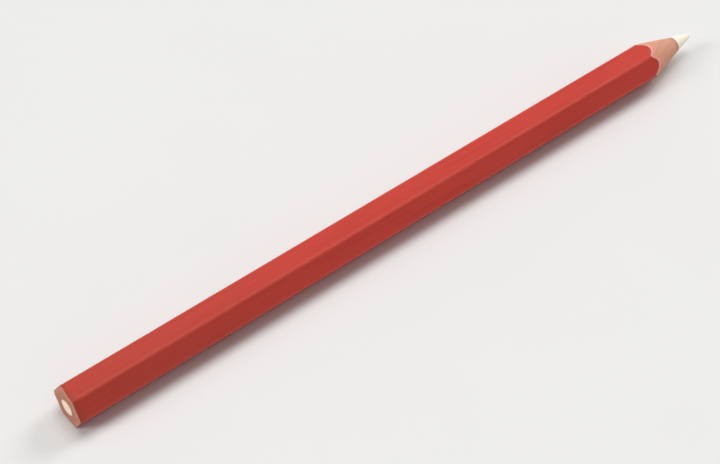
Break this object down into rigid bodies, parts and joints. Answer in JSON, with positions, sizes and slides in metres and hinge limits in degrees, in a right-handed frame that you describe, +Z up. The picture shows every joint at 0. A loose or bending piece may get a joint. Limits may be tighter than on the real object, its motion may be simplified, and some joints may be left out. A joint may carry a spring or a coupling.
{
  "type": "carpenter's marking pencil",
  "caption": "Hexagonal wood-cased marking pencil in red lacquer with a thick white core, sharpened to a blunt point at one end and cut square at the tail.",
  "frame": {"origin": "on the flat that the pencil lies on, below the middle of its length", "axes": "+X along the pencil towards its sharpened point, +Z up through the opposite flat, +Y towards one of the two corners in the glue joint"},
  "size_m": [0.175, 0.0098, 0.0088],
  "materials": {
    "core": "matte",
    "wood": "matte",
    "glue": "satin",
    "undercoat": "matte",
    "lacquer": "satin"
  },
  "bodies": {
    "root": {"marking_core": "core", "upper_slat": "wood", "lower_slat": "wood", "glue_line": "glue", "undercoat": "undercoat", "red_lacquer": "lacquer"}
  },
  "joints": []
}
